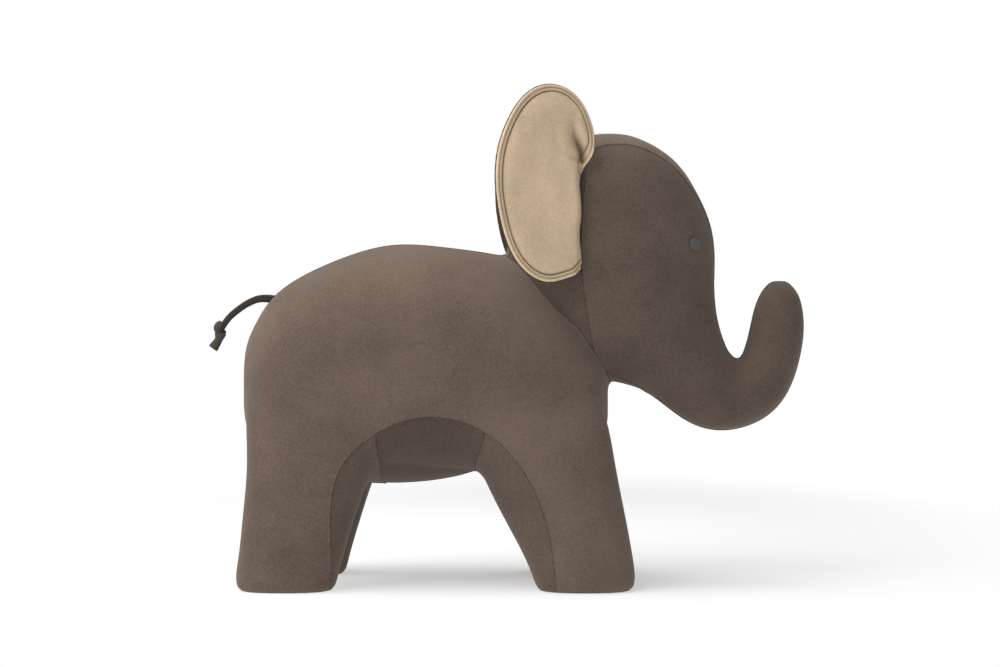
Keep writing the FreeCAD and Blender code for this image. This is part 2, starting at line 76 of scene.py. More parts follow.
def add_camera():
    data = bpy.data.cameras.new("camera")
    data.lens = LENS
    data.sensor_width = SENSOR
    camera = bpy.data.objects.new("camera", data)
    camera.location = (CAMERA_X, -CAMERA_DISTANCE, CAMERA_HEIGHT)
    camera.rotation_euler = (math.radians(90), 0, 0)
    bpy.context.scene.collection.objects.link(camera)
    bpy.context.scene.camera = camera


# --------------------------------------------------------------------------------- mesh helpers
def node_triangles(name):
    """A node's vertices and triangles as arrays."""
    mesh = frame["nodes"][name].data
    mesh.calc_loop_triangles()
    points = np.empty(len(mesh.vertices) * 3, np.float32)
    mesh.vertices.foreach_get("co", points)
    corners = np.empty(len(mesh.loop_triangles) * 3, np.int32)
    mesh.loop_triangles.foreach_get("vertices", corners)
    return points.reshape(-1, 3), corners.reshape(-1, 3)


def mesh_piece(name, points, faces, material, body, smooth=True):
    mesh = bpy.data.meshes.new(name)
    mesh.from_pydata(np.asarray(points, float).tolist(), [], [list(map(int, f)) for f in faces])
    mesh.validate()
    mesh.update()
    if smooth:
        mesh.shade_smooth()
    piece = bpy.data.objects.new(name, mesh)
    bpy.context.scene.collection.objects.link(piece)
    mesh.materials.append(material)
    if body:
        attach(piece, body)
    return piece


def vertex_normals(points, tris):
    a, b, c = points[tris[:, 0]], points[tris[:, 1]], points[tris[:, 2]]
    flat = np.cross(b - a, c - a)
    total = np.zeros_like(points)
    for i in range(3):
        np.add.at(total, tris[:, i], flat)
    length = np.linalg.norm(total, axis=1, keepdims=True)
    return total / np.maximum(length, 1e-12)


# ------------------------------------------------------------------------------------------- tail
# The strap's route in the mid-plane, from the rump to the knot.
TAIL_ROUTE = (
    (-0.348, 0.3925),
    (-0.366, 0.3955),
    (-0.384, 0.3895),
    (-0.402, 0.3775),
    (-0.417, 0.3640),
    (-0.4255, 0.3490),
)
STRAP_WIDTH = 0.0102
STRAP_THICKNESS = 0.0050
KNOT_LOOP = ((-0.4250, 0.3625), (-0.4275, 0.3560), (-0.4280, 0.3500), (-0.4255, 0.3415))
SLEEVE = ((-0.4245, 0.3472), (-0.4258, 0.3420), (-0.4285, 0.3340), (-0.4358, 0.3243))
# the sleeve's outer radius at even steps along it: its lip, its waist and its flared cut end
SLEEVE_RADII = (
    (0.0074, 0.0079, 0.0078, 0.0073, 0.0066, 0.0059)
    + (0.0056, 0.0058, 0.0062, 0.0067, 0.0071)
)
SLEEVE_WALL = 0.0016
SLEEVE_FLATNESS = 0.82
LOOP_RADII = (0.0068, 0.0064)
LOOP_ASIDE = np.array((0, -0.0022, 0))  # the loop lies on the elephant's right of the sleeve


def spline_points(name, route, detail=16):
    """Points along a NURBS spline whose control points are the route's."""
    curve = bpy.data.curves.new(name, "CURVE")
    curve.dimensions = "3D"
    curve.resolution_u = detail
    line = curve.splines.new("NURBS")
    line.points.add(len(route) - 1)
    for point, (x, z) in zip(line.points, route):
        point.co = (x, 0, z, 1)
    line.order_u = 3
    line.use_endpoint_u = True
    holder = bpy.data.objects.new(name, curve)
    mesh = bpy.data.meshes.new_from_object(holder)
    points = np.array([v.co for v in mesh.vertices])
    bpy.data.objects.remove(holder)
    bpy.data.curves.remove(curve)
    bpy.data.meshes.remove(mesh)
    return points


def swept(spine, wides, thicks, sides=20, power=2.4, wave=0.0):
    """Rings of a flattened tube along a spine in the mid-plane, wide in that plane."""
    runs = np.gradient(spine, axis=0)
    runs /= np.linalg.norm(runs, axis=1, keepdims=True)
    angles = 2 * np.pi * np.arange(sides) / sides
    cos, sin = np.cos(angles), np.sin(angles)
    flat = np.sign(cos) * np.abs(cos) ** (2 / power)
    thick = np.sign(sin) * np.abs(sin) ** (2 / power)
    rings = []
    for k, (middle, run) in enumerate(zip(spine, runs)):
        up = np.array((-run[2], 0, run[0]))
        ripple = 1 + wave * np.sin(3 * angles + 0.9 * k)
        ring = middle + (flat * ripple)[:, None] * up * wides[k]
        rings.append(ring + (thick * ripple)[:, None] * np.array((0, thicks[k], 0)))
    return np.array(rings)


def ring_mesh(name, rings, material, body):
    """A closed skin over rings of points."""
    count, sides = rings.shape[:2]
    faces = []
    for k in range(count - 1):
        for j in range(sides):
            a, b = k * sides + j, k * sides + (j + 1) % sides
            faces.append((a, a + sides, b + sides, b))
    faces.append(tuple(range(sides)))
    faces.append(tuple((count - 1) * sides + j for j in reversed(range(sides))))
    return mesh_piece(name, rings.reshape(-1, 3), faces, material, body)


def add_strap(material):
    """The folded strap, pinched where it enters the rump."""
    path = spline_points("tail_route", TAIL_ROUTE)
    share = np.linspace(0, 1, len(path))
    flare = np.exp(-((share / 0.16) ** 2))
    wides = STRAP_WIDTH / 2 * (1.02 + 0.10 * flare - 0.16 * share)
    thicks = STRAP_THICKNESS / 2 * (1 - 0.35 * flare + 0.08 * np.sin(9 * share))
    rings = swept(path, wides, thicks)
    strap = ring_mesh("tail_strap_cloth", rings, material, "tail")
    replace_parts(strap, "tail_strap")
    length = float(np.linalg.norm(np.diff(path, axis=0), axis=1).sum())
    return strap, path, length


def add_knot(material):
    """An overhand knot: a rounded loop that dips into a sleeve, whose end is cut and flared."""
    bend = spline_points("knot_loop_route", KNOT_LOOP)
    share = np.linspace(-1, 1, len(bend))
    swell = np.sqrt(np.clip(1 - 0.97 * share**2, 0, 1))
    loop = swept(bend, LOOP_RADII[0] * swell, LOOP_RADII[1] * swell, power=2.1)
    loop += LOOP_ASIDE * swell[:, None, None]
    loop_piece = ring_mesh("tail_knot_loop", loop, material, "tail")

    spine = spline_points("sleeve_route", SLEEVE)
    share = np.linspace(0, 1, len(spine))
    radii = np.interp(share, np.linspace(0, 1, len(SLEEVE_RADII)), SLEEVE_RADII)
    flatter = radii * SLEEVE_FLATNESS
    wall = SLEEVE_WALL
    outer = swept(spine, radii, flatter, wave=0.025)
    middle = swept(spine, radii - wall / 2, flatter - wall / 2)
    inner = swept(spine, radii - 1.3 * wall, flatter - 1.3 * wall)
    away = (spine[0] - spine[1]) / np.linalg.norm(spine[0] - spine[1])
    rim = middle[:1] + away * wall * 0.6
    cup = inner[1:4][::-1]
    hollow = inner[-2:][::-1]
    rings = np.concatenate([cup, rim, outer, hollow])
    # the lip dips on the elephant's right, where the loop goes in
    near_lip = np.exp(-((rings[:, :, 2] - spine[0, 2]) / 0.006) ** 2)
    rings[:, :, 2] += near_lip * 0.55 * (rings[:, :, 1] + 0.002)
    sleeve = ring_mesh("tail_knot_sleeve", rings, material, "tail")
    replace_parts(loop_piece, "tail_knot")
    return [loop_piece, sleeve]


def add_tail(strap_material, knot_material):
    strap, path, length = add_strap(strap_material)
    knot = add_knot(knot_material)


# ------------------------------------------------------------------------- the stuffed body's form
VOXEL = 0.0025
BAND = 14  # voxels each side of a surface in which distances are kept
COVER_OUT = 0.0023  # from the stuffing to the cover's outer face
CLOTH = 0.0014
COVER_DIP = 0.0006  # how much nearer than COVER_OUT the smoothed cover may come
SOFTENING = 1.8  # of the joined form, in voxels
EVENING_ROUNDS = 4
LEG_BLEND = 0.026
NECK_BLEND = 0.012
FOOT_RISE = 0.012
LEG_NAMES = [f"{end}_leg_fill_{word}" for end in ("rear", "front") for word in HANDS]
SOLE_NAMES = [f"{end}_sole_{word}" for end in ("rear", "front") for word in HANDS]


class Field:
    """Distances to solids on one dense grid round the elephant, negative inside them."""

    def __init__(self, low, high):
        self.low = np.floor(np.array(low) / VOXEL).astype(int)
        self.shape = tuple(np.ceil(np.array(high) / VOXEL).astype(int) - self.low)
        self.transform = openvdb.createLinearTransform(voxelSize=VOXEL)

    def distance(self, points, tris):
        grid = openvdb.FloatGrid.createLevelSetFromPolygons(
            points, triangles=tris.astype(np.uint32), transform=self.transform, halfWidth=BAND
        )
        values = np.empty(self.shape, np.float32)
        grid.copyToArray(values, ijk=tuple(int(i) for i in self.low))
        return values

    def surface(self, values, level):
        grid = openvdb.FloatGrid(BAND * VOXEL)
        grid.transform = self.transform
        grid.copyFromArray(values, ijk=tuple(int(i) for i in self.low))
        points, quads = grid.convertToQuads(isovalue=level)
        quads = np.asarray(quads, np.int64)
        # openvdb winds its faces the other way round
        quads = quads[:, ::-1]
        tris = np.concatenate([quads[:, [0, 1, 2]], quads[:, [0, 2, 3]]])
        return np.asarray(points, float), tris


def smooth_union(a, b, width):
    """Two solids joined with a rounded inner corner, and no swelling where they run together."""
    cosine = sum(x * y for x, y in zip(np.gradient(a), np.gradient(b))) / VOXEL**2
    width = width * np.clip(1.5 * (1 - cosine), 0.2, 1)
    near = np.maximum(width - np.abs(a - b), 0) / width
    return np.minimum(a, b) - near * near * width / 4


def blurred(values, sigma):
    """A Gaussian blur, one axis after another."""
    reach = int(math.ceil(3 * sigma))
    weights = np.exp(-0.5 * (np.arange(-reach, reach + 1) / sigma) ** 2)
    weights /= weights.sum()
    for axis in range(3):
        padded = np.pad(values, [(reach, reach) if i == axis else (0, 0) for i in range(3)], "edge")
        out = np.zeros_like(values)
        for i, weight in enumerate(weights):
            cut = [slice(None)] * 3
            cut[axis] = slice(i, i + values.shape[axis])
            out += np.float32(weight) * padded[tuple(cut)]
        values = out
    return values


def relaxed(points, tris, rounds):
    """Taubin smoothing: evens the surface out and keeps its size."""
    edges = np.concatenate([tris[:, [0, 1]], tris[:, [1, 2]], tris[:, [2, 0]]])
    count = np.bincount(edges[:, 0], minlength=len(points))[:, None]
    for i in range(2 * rounds):
        total = np.zeros_like(points)
        np.add.at(total, edges[:, 0], points[edges[:, 1]])
        step = 0.5 if i % 2 == 0 else -0.53
        points = points + step * (total / np.maximum(count, 1) - points)
    return points


def body_form():
    """The outer face of the whole sewn cover as one smooth surface."""
    low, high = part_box("torso_fill")
    for name in LEG_NAMES + SOLE_NAMES + ["head_fill", "trunk_fill"]:
        a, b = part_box(name)
        low = Vector(map(min, low, a))
        high = Vector(map(max, high, b))
    margin = Vector((BAND * VOXEL,) * 3)
    field = Field(low - margin, high + margin)
    torso = field.distance(*node_triangles("torso_fill"))
    head = np.minimum(
        field.distance(*node_triangles("head_fill")), field.distance(*node_triangles("trunk_fill"))
    )
    legs = [field.distance(*node_triangles(name)) for name in LEG_NAMES]
    whole = smooth_union(torso, np.minimum.reduce(legs), LEG_BLEND)
    whole = smooth_union(whole, head, NECK_BLEND)
    for name in SOLE_NAMES:
        points, tris = node_triangles(name)
        points = points.copy()
        points[:, 2] *= FOOT_RISE / points[:, 2].max()
        whole = np.minimum(whole, field.distance(points, tris) + COVER_OUT)
    stuffing = np.minimum.reduce([torso, head] + legs)
    whole = np.minimum(blurred(whole, SOFTENING), stuffing + COVER_DIP)
    points, tris = field.surface(whole, COVER_OUT)
    points = relaxed(points, tris, EVENING_ROUNDS)
    points[:, 2] = np.maximum(points[:, 2], 0)
    return points, tris


STUFFING_VOXEL = 0.009
STUFFING_IN = 0.0035
LUMP_HEIGHT = 0.0018


def add_stuffing(material):
    """The fibre filling, one lumpy piece inside each part of the cover."""
    for name in LEG_NAMES + ["torso_fill", "head_fill", "trunk_fill"]:
        points, tris = node_triangles(name)
        grid = openvdb.FloatGrid.createLevelSetFromPolygons(
            points,
            triangles=tris.astype(np.uint32),
            transform=openvdb.createLinearTransform(voxelSize=STUFFING_VOXEL),
            halfWidth=3,
        )
        lumps, quads = grid.convertToQuads(isovalue=-STUFFING_IN)
        quads = np.asarray(quads, np.int64)[:, ::-1]
        lumps = np.asarray(lumps, float)
        waves = np.sin(210 * lumps + 150 * lumps[:, [1, 2, 0]]).prod(axis=1)
        out = vertex_normals(lumps, np.concatenate([quads[:, :3], quads[:, [0, 2, 3]]]))
        lumps = lumps + out * (LUMP_HEIGHT * waves)[:, None]
        piece = mesh_piece(f"{name}_fibre", lumps, quads, material, "elephant")
        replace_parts(piece, name)


# ---------------------------------------------------------------------------------- cover panels
PANELS = (
    ["crown_gusset", "chin_gusset", "belly_panel"]
    + [f"{kind}_panel_{word}" for kind in ("head_side", "neck", "body_side") for word in HANDS]
    + [f"{end}_inner_leg_panel_{word}" for end in ("rear", "front") for word in HANDS]
    + SOLE_NAMES
)
SEAM_RINGS = (0.0005, 0.0010, 0.0019, 0.0036)  # edge loops beside a seam
SEAM_DEPTH = 0.0015
SEAM_WIDTH = 0.0009
FAR_AWAY = 0.08  # panels further off than this aren't looked for


def panel_distances(points):
    """How far each point is from each panel's own CAD shell."""
    table = np.empty((len(PANELS), len(points)))
    places = [Vector(p) for p in points]
    for row, name in enumerate(PANELS):
        shell, tris = node_triangles(name)
        tree = BVHTree.FromPolygons(shell.tolist(), tris.tolist())
        low, high = shell.min(0) - FAR_AWAY, shell.max(0) + FAR_AWAY
        near = np.all((points > low) & (points < high), axis=1)
        table[row] = FAR_AWAY
        for i in np.nonzero(near)[0]:
            hit = tree.find_nearest(places[i], FAR_AWAY)
            if hit[3] is not None:
                table[row, i] = hit[3]
    return table


def split_at(values, tris, column, level):
    """Cuts triangles along values[:, column] == level; every column is interpolated."""
    side = values[:, column] > level
    flags = side[tris]
    mixed = flags.any(1) & ~flags.all(1)
    if not mixed.any():
        return values, tris
    kept, cut = tris[~mixed], tris[mixed]
    flags = flags[mixed]
    # the odd corner out comes first
    lone = np.where(flags.sum(1) == 1, flags.argmax(1), (~flags).argmax(1))
    order = (lone[:, None] + np.arange(3)) % 3
    cut = np.take_along_axis(cut, order, 1)
    a, b, c = cut.T
    pairs = np.sort(np.concatenate([np.stack([a, b], 1), np.stack([a, c], 1)]), axis=1)
    edges, index = np.unique(pairs, axis=0, return_inverse=True)
    index = index.reshape(-1)
    low, high = values[edges[:, 0]], values[edges[:, 1]]
    share = (level - low[:, column]) / (high[:, column] - low[:, column])
    share = np.clip(share, 0.02, 0.98)[:, None]
    made = low + (high - low) * share
    made[:, column] = level
    first = len(values) + index[: len(a)]
    second = len(values) + index[len(a) :]
    fresh = np.concatenate(
        [
            np.stack([a, first, second], 1),
            np.stack([first, b, c], 1),
            np.stack([first, c, second], 1),
        ]
    )
    return np.concatenate([values, made]), np.concatenate([kept, fresh])


def compact(values, tris):
    used, tris = np.unique(tris, return_inverse=True)
    return values[used], tris.reshape(-1, 3)


def border_edges(tris):
    """Directed edges that only one triangle has."""
    edges = np.concatenate([tris[:, [0, 1]], tris[:, [1, 2]], tris[:, [2, 0]]])
    keys = np.sort(edges, axis=1)
    _, index, count = np.unique(keys, axis=0, return_index=True, return_counts=True)
    return edges[index[count == 1]]


def closed_faces(tris, count):
    """Faces of a sheet of `count` points, of a back numbered after it, and of walls between."""
    rim = border_edges(tris)
    walls = np.concatenate(
        [
            np.stack([rim[:, 1], rim[:, 0], rim[:, 0] + count], 1),
            np.stack([rim[:, 1], rim[:, 0] + count, rim[:, 1] + count], 1),
        ]
    )
    return np.concatenate([tris, tris[:, ::-1] + count, walls])


def with_back(points, tris, normals, thickness):
    """A sheet given a back face and walls round its edge."""
    both = np.concatenate([points, points - normals * thickness])
    return both, closed_faces(tris, len(points))


def mark(piece, attribute, values):
    """Stores a value at each point of a sheet and at the point behind it."""
    layer = piece.data.attributes.new(attribute, "FLOAT", "POINT")
    layer.data.foreach_set("value", np.tile(values, 2).astype(np.float32))


def cover_pieces(points, tris, materials):
    """One piece of cloth for each panel, its edges turned in at the seams."""
    table = panel_distances(points)
    normals = vertex_normals(points, tris)
    nearest = np.sort(table, axis=0)[:2]
    owner = table.argmin(0)
    for row, name in enumerate(PANELS):
        mine = table[row]
        other = np.where(owner == row, nearest[1], nearest[0])
        gap = mine**2 - other**2
        inside = np.sign(gap) * np.sqrt(np.abs(gap))
        near = (inside[tris] < 0).any(1)
        values = np.concatenate([points, normals, inside[:, None]], axis=1)
        values, part = split_at(values, tris[near], 6, 0.0)
        part = part[(values[part, 6] <= 0).all(1)]
        for ring in SEAM_RINGS:
            values, part = split_at(values, part, 6, -ring)
        values, part = compact(values, part)
        reach = -values[:, 6]
        sink = SEAM_DEPTH * np.exp(-((reach / SEAM_WIDTH) ** 1.5))
        normal = values[:, 3:6] / np.linalg.norm(values[:, 3:6], axis=1, keepdims=True)
        place = values[:, :3] - normal * sink[:, None]
        place[:, 2] = np.maximum(place[:, 2], 0)
        shell, faces = with_back(place, part, normal, CLOTH)
        shell[:, 2] = np.maximum(shell[:, 2], 0)
        material = next(materials[kind] for kind in materials if kind in name)
        piece = mesh_piece(f"{name}_cloth", shell, faces, material, "elephant")
        # the distance from the seam later paints shade into the seam's groove
        mark(piece, "seam", reach)
        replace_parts(piece, name)


# ------------------------------------------------------------------------------------------- ears
EAR_GRID = 0.0024
EAR_RIM = 0.0016  # the rolled edge of the lining
EAR_BAND = 0.0095  # from the edge to the groove inside the border band
EAR_ROOT_FADE = 0.012
BAND_STITCH = 0.0045  # how far the stitch row is from the edge
EAR_RINGS = (
    (0.0, 0.0003, 0.0008, 0.0014, 0.0022, 0.0036, BAND_STITCH, 0.0054, 0.0068, 0.0079)
    + (0.0086, 0.0091, EAR_BAND, 0.0099, 0.0105, 0.0112, 0.0125, 0.0145)
)
WADDING_IN = 0.005
WADDING_UNDER = 0.0014  # the wadding stays this far under the lining and the back
EAR_CLOTH = 0.0007
EDGE_LEAST = 0.0004  # the least height of the lining over the ear's middle
EDGE_SWELL = 0.0030  # the height that the rolled edge adds
BACK_ROLL = 0.0022  # how far in the back panel's edge rolls
FIELD_SWELL = 0.0062  # how far the padding lifts the lining inside the band
GROOVE_DEPTH = 0.0019
STITCH_DIP = 0.0005
LINE_WIDTH = 0.0009  # half the width of the groove and of the stitch row's dip
LOBE_HEIGHT = 0.0065
CUP_HEIGHT = 0.004  # how far the ear's outer part cups forward
CREASE_DEPTH = 0.0125
CREASE_IN_MIDDLE = 0.35  # the share of the crease that bends the whole ear
CREASE_IN_LINING = 0.65  # the share that only the lining has
LOW_CREASE_DEPTH = 0.0046
WELT_RADIUS = 0.0011
STITCH_PITCH = 0.0036
STITCH_LENGTH = 0.0027
STITCH_RADIUS = 0.00052
BACK_SHOWS = 0.0012  # how far the dark back stands out round the lining
NOTCH = (-0.002, 0.158)  # where the ear's front lobe folds, across and up the ear
LONG_CREASE = np.array((NOTCH, (0.0005, 0.181), (0.012, 0.198), (0.0165, 0.214), (0.016, 0.230)))
LOW_CREASE = np.array((NOTCH, (0.013, 0.168), (0.034, 0.171), (0.052, 0.166)))
# soft dimples in the padded lining: across, up, half width, half height, depth
DIMPLES = (
    (0.106, 0.112, 0.024, 0.007, 0.0018),
    (0.100, 0.098, 0.012, 0.020, 0.0014),
    (0.092, 0.206, 0.007, 0.010, 0.0010),
    (0.060, 0.080, 0.014, 0.040, 0.0012),
    (0.078, 0.150, 0.014, 0.050, 0.0010),
    (0.030, 0.040, 0.018, 0.010, 0.0012),
    (0.042, 0.190, 0.010, 0.030, 0.0014),
    (0.030, 0.110, 0.010, 0.030, 0.0010),
    (0.060, 0.244, 0.030, 0.006, 0.0010),
)


def smoothstep(x):
    x = np.clip(x, 0, 1)
    return x * x * (3 - 2 * x)


def path_distance(points, path):
    """For 2-D points: distance to a polyline, share along it, and distance signed + on its left."""
    best = np.full(len(points), np.inf)
    share = np.zeros(len(points))
    across = np.zeros(len(points))
    total = sum(np.linalg.norm(b - a) for a, b in zip(path[:-1], path[1:]))
    done = 0.0
    for a, b in zip(path[:-1], path[1:]):
        run = b - a
        length = np.linalg.norm(run)
        t = np.clip((points - a) @ run / length**2, 0, 1)
        gap = points - (a + t[:, None] * run)
        distance = np.linalg.norm(gap, axis=1)
        closer = distance < best
        best = np.where(closer, distance, best)
        share = np.where(closer, (done + t * length) / total, share)
        side = run[0] * (points[:, 1] - a[1]) - run[1] * (points[:, 0] - a[0])
        across = np.where(closer, np.sign(side) * distance, across)
        done += length
    return best, share, across


class Ear:
    """One ear's own frame and outline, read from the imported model."""

    def __init__(self, word, form_tree):
        self.word = word
        self.body = f"ear_{word}"
        joint = next(j for j in frame["joints"] if j["child"] == self.body)
        self.low = np.array(joint["pos_m"])
        self.up = np.array(joint["axis"])
        self.up *= np.sign(self.up[2])
        points, tris = node_triangles(f"ear_back_{word}")
        middle = points.mean(0)
        spread = np.linalg.svd(points - middle, full_matrices=False)[2]
        self.out = spread[2] * np.sign(spread[2][1] * HANDS[word])
        self.back = np.cross(self.up, self.out)
        self.back *= np.sign((middle - self.low) @ self.back)
        self.form_tree = form_tree
        self.outline = self.read_outline(points, tris)
        self.root_low, self.root_high = self.find_root()
        self.free = self.free_edge()

    def flat(self, points):
        """Across and up the ear."""
        offset = points - self.low
        return np.stack([offset @ self.back, offset @ self.up], 1)

    def place(self, flat, height):
        return (
            self.low
            + flat[:, :1] * self.back
            + flat[:, 1:2] * self.up
            + np.asarray(height)[:, None] * self.out
        )

    def read_outline(self, points, tris):
        """The edge of the back layer's flat face, as evenly spaced points."""
        height = (points - self.low) @ self.out
        low = height < height.min() + 0.0001
        face = tris[low[tris].all(1)]
        flat = np.round(self.flat(points) * 1e6).astype(int)
        _, first, same = np.unique(flat, axis=0, return_index=True, return_inverse=True)
        rim = border_edges(first[same.reshape(-1)][face])
        follow = dict(rim.tolist())
        at = rim[0][0]
        loop = []
        for _ in range(len(rim)):
            loop.append(at)
            at = follow[at]
        loop = self.flat(points[loop])
        return evenly(np.concatenate([loop, loop[:1]]), 0.0025)

    def find_root(self):
        """How high up the root line the ear's sewn edge starts and ends."""
        near = (np.abs(self.outline[:, 0] - 0.002) < 0.0055) & (self.outline[:, 1] < 0.157)
        heights = self.outline[near, 1]
        return heights.min(), heights.max()

    def is_root(self, flat):
        low, high = self.root_low + 0.001, self.root_high
        return (flat[:, 0] < 0.008) & (flat[:, 1] > low) & (flat[:, 1] < high)

    def free_edge(self):
        """The outline without its root, run on a little past the ear's sharp lower corner."""
        root = self.is_root(self.outline)
        start = int(np.argmax(~root & np.roll(root, 1)))
        turned = np.roll(self.outline, -start, axis=0)
        free = turned[: int((~root).sum())]
        if free[0, 1] > free[-1, 1]:
            free = free[::-1]
        run = free[0] - free[3]
        beyond = free[0] + run / np.linalg.norm(run) * 2 * EAR_BAND
        return np.concatenate([[beyond], free])

    def root_edge(self):
        return self.outline[self.is_root(self.outline)]

    def grid(self):
        """Flat points and triangles over the outline, with distances to its edges."""
        low, high = self.outline.min(0) - 2 * EAR_GRID, self.outline.max(0) + 2 * EAR_GRID
        xs = np.arange(low[0], high[0], EAR_GRID)
        ys = np.arange(low[1], high[1], EAR_GRID)
        x, y = np.meshgrid(xs, ys, indexing="ij")
        flat = np.stack([x.ravel(), y.ravel()], 1)
        index = np.arange(x.size).reshape(x.shape)
        a, b = index[:-1, :-1].ravel(), index[1:, :-1].ravel()
        c, d = index[1:, 1:].ravel(), index[:-1, 1:].ravel()
        tris = np.concatenate([np.stack([a, b, c], 1), np.stack([a, c, d], 1)])
        closed = np.concatenate([self.outline, self.outline[:1]])
        edge = path_distance(flat, closed)[0]
        edge *= np.where(inside_loop(flat, self.outline), 1, -1)
        return self.with_distances(flat, edge), tris

    def with_distances(self, flat, edge):
        free = path_distance(flat, self.free)[0] * np.sign(edge)
        return np.concatenate([flat, edge[:, None], free[:, None]], axis=1)

    def bend(self, flat):
        """How far the ear stands out of its plane: the front lobe folds over a deep crease."""
        across = path_distance(flat, LONG_CREASE)[2]
        fade = 1 - smoothstep((flat[:, 1] - 0.178) / 0.080)
        lobe = smoothstep(across / 0.013) * fade * smoothstep((flat[:, 1] - 0.152) / 0.014)
        cup = CUP_HEIGHT * smoothstep((flat[:, 0] - 0.05) / 0.09)
        return LOBE_HEIGHT * lobe + cup - CREASE_IN_MIDDLE * self.crease(flat)

    def crease(self, flat):
        """Depth of the fold behind the lobe: steep towards the lobe, gentle behind it."""
        distance, share, across = path_distance(flat, LONG_CREASE)
        reach = np.where(across > 0, 0.0026, 0.006 + 0.012 * share)
        fade = smoothstep((1 - share) / 0.8) * smoothstep((share - 0.01) / 0.10)
        return CREASE_DEPTH * fade * np.exp(-((distance / reach) ** 1.3))

    def front(self, values):
        """Height of the lining's face over the ear's bent middle."""
        flat, free = values[:, :2], np.maximum(values[:, 3] - BACK_SHOWS, 0)
        roll = np.sqrt(np.clip(1 - (1 - np.clip(free / EAR_RIM, 0, 1)) ** 2, 0, 1))
        height = EDGE_LEAST + EDGE_SWELL * roll
        row = np.exp(-(((free - BAND_STITCH) / LINE_WIDTH) ** 2))
        groove = np.exp(-(((free - EAR_BAND) / LINE_WIDTH) ** 2))
        swell = 0.0004 * np.exp(-(((free - 0.0070) / 0.0014) ** 2))
        height = height - STITCH_DIP * row - GROOVE_DEPTH * groove + swell
        field = np.clip((free - EAR_BAND) / 0.030, 0, None)
        height = height + FIELD_SWELL * (1 - np.exp(-2.4 * field))
        fade = smoothstep(free / 0.004)
        distance, share, _ = path_distance(flat, LOW_CREASE)
        reach = 0.0028 + 0.0065 * share
        fold = LOW_CREASE_DEPTH * (1 - share) ** 0.8 * np.exp(-((distance / reach) ** 2))
        height = height - fade * (fold + CREASE_IN_LINING * self.crease(flat))
        for across, up, wide, high, depth in DIMPLES:
            dx, dy = (flat[:, 0] - across) / wide, (flat[:, 1] - up) / high
            height = height - depth * np.exp(-(dx**2 + dy**2))
        return np.maximum(height, EDGE_LEAST)

    def rear(self, values):
        """Depth of the back panel's face under the ear's bent middle."""
        edge = np.clip(values[:, 2], 0, None)
        roll = np.sqrt(np.clip(1 - (1 - np.clip(edge / BACK_ROLL, 0, 1)) ** 2, 0, 1))
        return -EDGE_LEAST + EDGE_SWELL * roll + 0.0035 * (1 - np.exp(-edge / 0.022))

    def sewn(self, points, flat, lift=0.0008):
        """Draws the root edge in to lie on the head's own surface, where it is sewn."""
        root = self.root_edge()
        distance = path_distance(flat, root[np.argsort(root[:, 1])])[0]
        weight = np.clip(1 - distance / EAR_ROOT_FADE, 0, 1) ** 2
        base = self.place(flat, np.zeros(len(flat)))
        moved = points.copy()
        inward = Vector((0, -HANDS[self.word], 0))
        for i in np.nonzero(weight > 0)[0]:
            start = Vector(base[i]) - inward * 0.03
            hit = self.form_tree.ray_cast(start, inward)[0]
            if hit is not None:
                target = np.array(hit - inward * lift)
                moved[i] += (target - points[i]) * weight[i]
        return moved


def evenly(path, step):
    """Points at even steps along a polyline; a closed path's last point is left out."""
    runs = np.linalg.norm(np.diff(path, axis=0), axis=1)
    total = np.concatenate([[0], np.cumsum(runs)])
    count = max(int(round(total[-1] / step)), 2)
    at = np.linspace(0, total[-1], count, endpoint=False)
    return np.stack([np.interp(at, total, path[:, i]) for i in range(path.shape[1])], 1)


def inside_loop(points, loop):
    """Whether 2-D points are inside a closed loop, by counting crossings."""
    inside = np.zeros(len(points), bool)
    x, y = points[:, 0], points[:, 1]
    for (ax, ay), (bx, by) in zip(loop, np.roll(loop, -1, axis=0)):
        if ay != by:
            crosses = (ay > y) != (by > y)
            inside ^= crosses & (x < (bx - ax) * (y - ay) / (by - ay) + ax)
    return inside


def ear_layer(ear, values, tris, name, material, low=None, high=None, face="front"):
    """One cloth layer of the ear between two distances from its free edge."""
    values, tris = split_at(values, tris, 2, 0.0)
    tris = tris[(values[tris, 2] >= -1e-9).all(1)]
    values, tris = compact(values, tris)
    values[:, 3] = path_distance(values[:, :2], ear.free)[0]
    for ring in EAR_RINGS:
        values, tris = split_at(values, tris, 3, BACK_SHOWS + ring)
    low = 0 if low is None else BACK_SHOWS + low
    tris = tris[(values[tris, 3] >= low - 1e-9).all(1)]
    if high is not None:
        tris = tris[(values[tris, 3] <= BACK_SHOWS + high + 1e-9).all(1)]
    values, tris = compact(values, tris)
    flat = values[:, :2]
    values[:, 3] = np.maximum(path_distance(flat, ear.free)[0], low)
    middle = ear.bend(flat)
    if face == "front":
        points = ear.sewn(ear.place(flat, middle + ear.front(values)), flat)
    else:
        points = ear.sewn(ear.place(flat, middle - ear.rear(values)), flat, lift=-0.0010)
    normals = vertex_normals(points, tris)
    want = ear.out if face == "front" else -ear.out
    if (normals @ want).mean() < 0:
        tris = tris[:, ::-1]
        normals = -normals
    shell, faces = with_back(points, tris, normals, EAR_CLOTH)
    piece = mesh_piece(name, shell, faces, material, None)
    # the distance from the edge sets the band's painted shade and lighter rim
    mark(piece, "edge", values[:, 3] - BACK_SHOWS)
    # the crease depth sets the painted shade in the long crease
    mark(piece, "fold", ear.crease(flat))
    return piece


